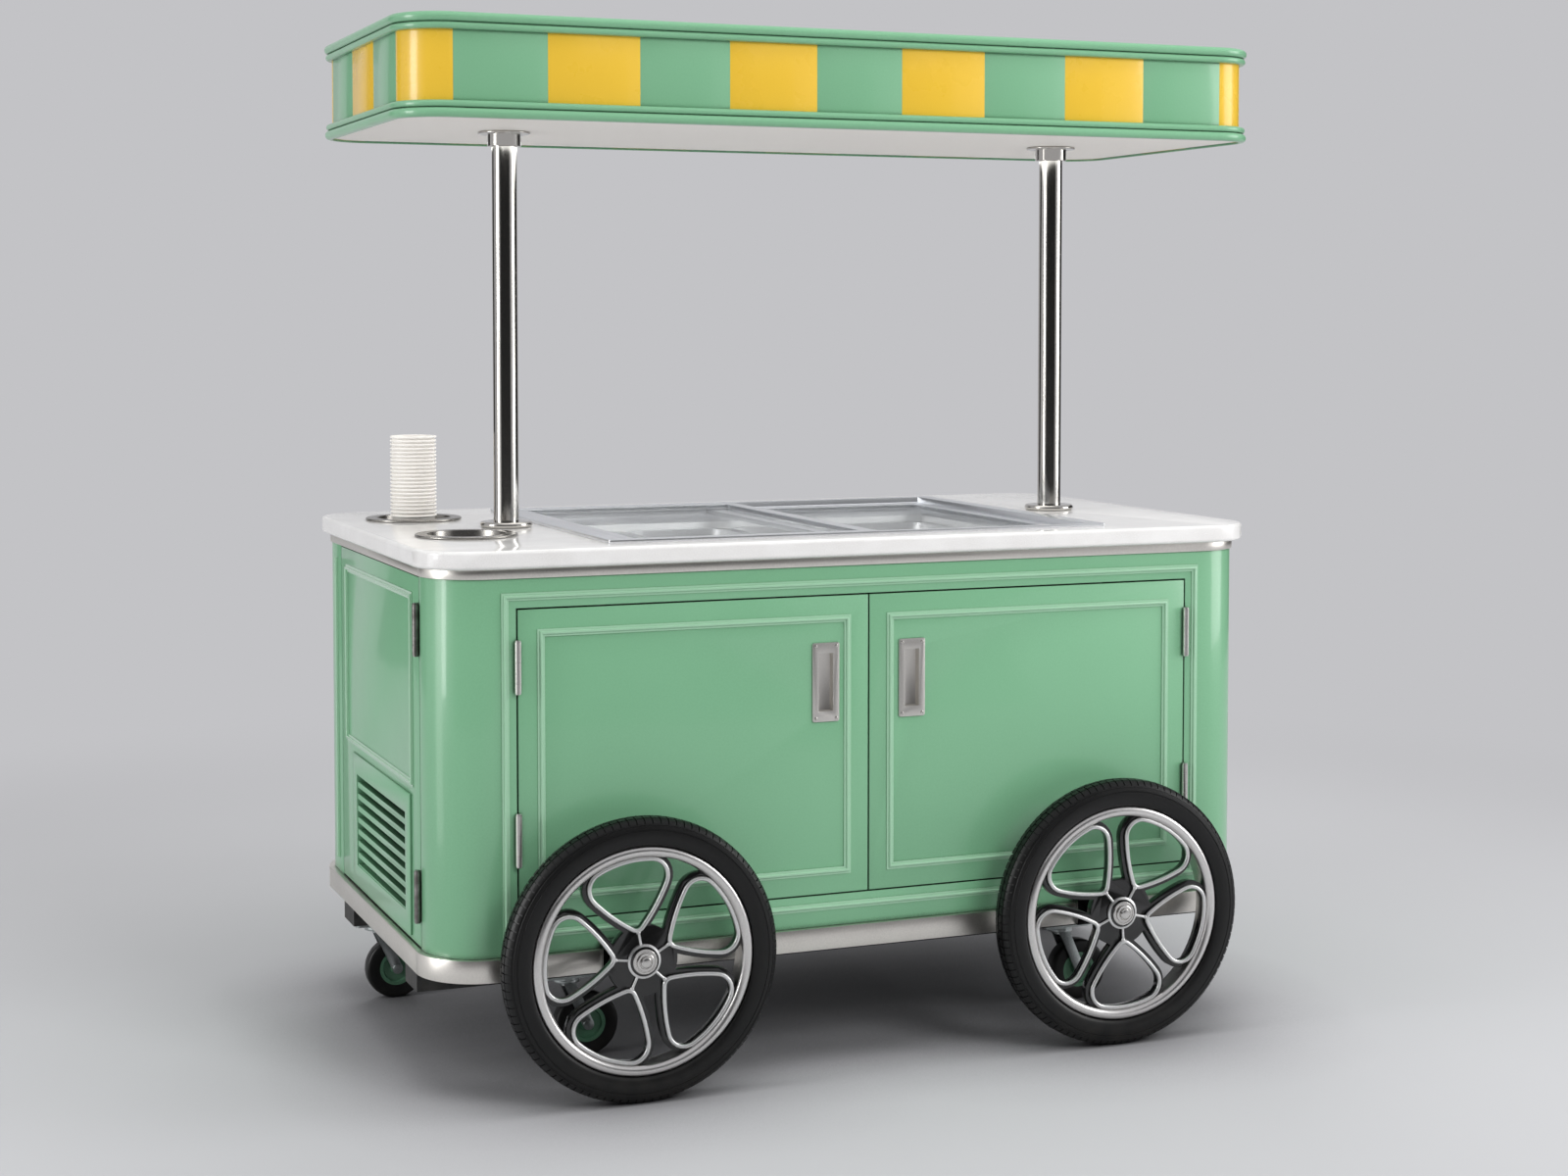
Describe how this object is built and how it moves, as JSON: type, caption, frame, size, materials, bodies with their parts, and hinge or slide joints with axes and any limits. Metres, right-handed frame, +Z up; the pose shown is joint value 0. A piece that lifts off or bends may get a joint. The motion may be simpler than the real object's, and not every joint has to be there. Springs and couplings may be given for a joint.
{
  "type": "ice cream push cart",
  "caption": "Push cart for ice cream: mint cabinet with hinged doors, stone counter with sliding glass lids over pans, striped canopy on posts, large petal-spoked wheels and swivel casters.",
  "frame": {"origin": "on the ground, below the middle of the canopy's length and half way between the hub caps and the rear edge of the countertop", "axes": "+Z up, the doors and large wheels face -Y, +X runs along the counter towards the end without the louvre"},
  "size_m": [1.808, 1.1096, 1.968],
  "materials": {
    "mint_paint": "glossy mint gel coat, lightly handled",
    "yellow_paint": "glossy warm yellow gel coat",
    "white_stone": "polished white quartz with faint mottling",
    "brushed_stainless": "brushed along the band",
    "satin_stainless": "satin, bead-blasted look",
    "polished_steel": "mirror-polished tube and fittings",
    "white_liner": "smooth satin white",
    "lid_glass": "clear, faintly blue",
    "satin_aluminium": "satin anodised",
    "tyre_black": "satin black rubber",
    "caster_rubber": "satin black tread on a mint hub",
    "black_enamel": "gloss black enamel",
    "frame_black": "black powder coat on aluminium box section",
    "zinc_steel": "bright zinc plate",
    "cup_paper": "ivory coated paper",
    "coil_aluminium": "bare fins and grey sheet",
    "compressor_black": "satin black enamel",
    "fan_plastic": "black moulded plastic"
  },
  "bodies": {
    "cart": {"chassis_frame": "frame_black", "cabinet_shell": "mint_paint", "inner_panels": "white_liner", "panel_mouldings": "mint_paint", "skirt_band": "brushed_stainless", "counter_trim": "brushed_stainless", "countertop": "white_stone", "cold_well": "white_liner", "pan_rack": "satin_stainless", "gelato_pans": "satin_stainless", "lid_track": "brushed_stainless", "cup_wells": "brushed_stainless", "canopy_posts": "polished_steel", "post_fittings": "polished_steel", "canopy_soffit": "white_liner", "canopy_fascia": "mint_paint", "canopy_panels": "yellow_paint", "canopy_rails": "mint_paint", "canopy_roof": "mint_paint", "hinge_leaves": "polished_steel", "stub_axles": "black_enamel", "caster_plates": "zinc_steel", "condenser": "coil_aluminium", "compressor": "compressor_black"},
    "cup_stack": {"paper_cups": "cup_paper"},
    "fan": {"condenser_fan": "fan_plastic"},
    "left_door": {"door_left": "mint_paint", "door_left_moulding": "mint_paint", "door_left_pull": "satin_stainless", "door_left_hinges": "polished_steel"},
    "right_door": {"door_right": "mint_paint", "door_right_moulding": "mint_paint", "door_right_pull": "satin_stainless", "door_right_hinges": "polished_steel"},
    "service_door": {"service_door": "mint_paint", "service_door_moulding": "mint_paint", "service_door_grille": "mint_paint", "service_door_hinges": "polished_steel"},
    "left_lid": {"lid_left_frame": "satin_aluminium", "lid_left_glass": "lid_glass"},
    "right_lid": {"lid_right_frame": "satin_aluminium", "lid_right_glass": "lid_glass"},
    "left_wheel": {"wheel_left_tyre": "tyre_black", "wheel_left_rim": "satin_aluminium", "wheel_left_spider": "black_enamel", "wheel_left_loops": "satin_aluminium", "wheel_left_cap": "polished_steel"},
    "right_wheel": {"wheel_right_tyre": "tyre_black", "wheel_right_rim": "satin_aluminium", "wheel_right_spider": "black_enamel", "wheel_right_loops": "satin_aluminium", "wheel_right_cap": "polished_steel"},
    "front_left_fork": {"caster_front_left_fork": "zinc_steel"},
    "front_left_caster_wheel": {"caster_front_left_wheel": "caster_rubber"},
    "front_right_fork": {"caster_front_right_fork": "zinc_steel"},
    "front_right_caster_wheel": {"caster_front_right_wheel": "caster_rubber"},
    "rear_left_fork": {"caster_rear_left_fork": "zinc_steel"},
    "rear_left_caster_wheel": {"caster_rear_left_wheel": "caster_rubber"},
    "rear_right_fork": {"caster_rear_right_fork": "zinc_steel"},
    "rear_right_caster_wheel": {"caster_rear_right_wheel": "caster_rubber"}
  },
  "joints": [
    {"name": "left_door_swing", "type": "hinge", "parent": "cart", "child": "left_door", "pos_m": [-0.7245, -0.4339, 0.6], "axis": [0, 0, -1], "range_deg": [0, 7]},
    {"name": "right_door_swing", "type": "hinge", "parent": "cart", "child": "right_door", "pos_m": [0.6585, -0.4339, 0.6], "axis": [0, 0, 1], "range_deg": [0, 7]},
    {"name": "service_door_swing", "type": "hinge", "parent": "cart", "child": "service_door", "pos_m": [-0.88265, -0.31375, 0.6], "axis": [0, 0, 1], "range_deg": [0, 105]},
    {"name": "left_lid_slide", "type": "slide", "parent": "cart", "child": "left_lid", "axis": [1, 0, 0], "range_m": [0, 0.45]},
    {"name": "right_lid_slide", "type": "slide", "parent": "cart", "child": "right_lid", "axis": [-1, 0, 0], "range_m": [0, 0.45]},
    {"name": "cup_stack_lift", "type": "slide", "parent": "cart", "child": "cup_stack", "axis": [0, 0, 1], "range_m": [0, 0.2]},
    {"name": "fan_spin", "type": "hinge", "parent": "cart", "child": "fan", "pos_m": [-0.727, -0.00175, 0.407], "axis": [1, 0, 0], "continuous": true},
    {"name": "left_wheel_spin", "type": "hinge", "parent": "cart", "child": "left_wheel", "pos_m": [-0.523, -0.52025, 0.26], "axis": [0, 1, 0], "continuous": true},
    {"name": "right_wheel_spin", "type": "hinge", "parent": "cart", "child": "right_wheel", "pos_m": [0.457, -0.52025, 0.26], "axis": [0, 1, 0], "continuous": true},
    {"name": "front_left_swivel", "type": "hinge", "parent": "cart", "child": "front_left_fork", "pos_m": [-0.567, -0.20225, 0.15], "axis": [0, 0, 1], "continuous": true},
    {"name": "front_left_roll", "type": "hinge", "parent": "front_left_fork", "child": "front_left_caster_wheel", "pos_m": [-0.529, -0.20225, 0.0625], "axis": [0, 1, 0], "continuous": true},
    {"name": "front_right_swivel", "type": "hinge", "parent": "cart", "child": "front_right_fork", "pos_m": [0.501, -0.20225, 0.15], "axis": [0, 0, 1], "continuous": true},
    {"name": "front_right_roll", "type": "hinge", "parent": "front_right_fork", "child": "front_right_caster_wheel", "pos_m": [0.539, -0.20225, 0.0625], "axis": [0, 1, 0], "continuous": true},
    {"name": "rear_left_swivel", "type": "hinge", "parent": "cart", "child": "rear_left_fork", "pos_m": [-0.811, 0.33975, 0.15], "axis": [0, 0, 1], "continuous": true},
    {"name": "rear_left_roll", "type": "hinge", "parent": "rear_left_fork", "child": "rear_left_caster_wheel", "pos_m": [-0.773, 0.33975, 0.0625], "axis": [0, 1, 0], "continuous": true},
    {"name": "rear_right_swivel", "type": "hinge", "parent": "cart", "child": "rear_right_fork", "pos_m": [0.745, 0.33975, 0.15], "axis": [0, 0, 1], "continuous": true},
    {"name": "rear_right_roll", "type": "hinge", "parent": "rear_right_fork", "child": "rear_right_caster_wheel", "pos_m": [0.783, 0.33975, 0.0625], "axis": [0, 1, 0], "continuous": true}
  ]
}
